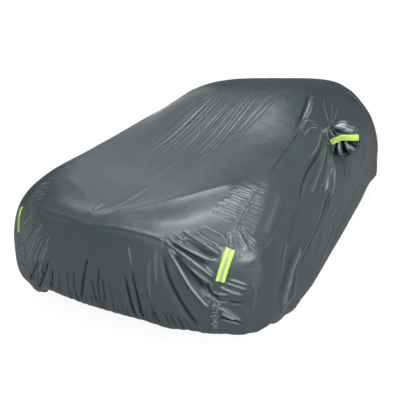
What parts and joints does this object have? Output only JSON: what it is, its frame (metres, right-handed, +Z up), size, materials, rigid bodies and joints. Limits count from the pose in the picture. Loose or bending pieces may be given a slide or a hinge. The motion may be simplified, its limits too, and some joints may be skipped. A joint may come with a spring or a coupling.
{
  "type": "fitted car cover",
  "caption": "Fitted cover for a hatchback car, of coated cloth with an elastic hem, door mirror pockets and reflective tapes, shaped as it hangs over the car.",
  "frame": {"origin": "point on the underside of the top panel, at the middle of the roof, where the car that is left out carries the cover", "axes": "+Z up, -Y towards the front of the car, +X towards the car's left side"},
  "size_m": [2.0087, 4.3278, 1.3222],
  "materials": {
    "cloth": "satin slate-grey coated polyester",
    "tape": "yellow-green reflective tape with a silver-grey middle"
  },
  "bodies": {
    "root": {"top_panel": "cloth", "side_panel_left": "cloth", "side_panel_right": "cloth", "mirror_pocket_left": "cloth", "mirror_pocket_right": "cloth", "front_tape_left": "tape", "front_tape_right": "tape", "pocket_tape_left": "tape", "pocket_tape_right": "tape"}
  },
  "joints": []
}
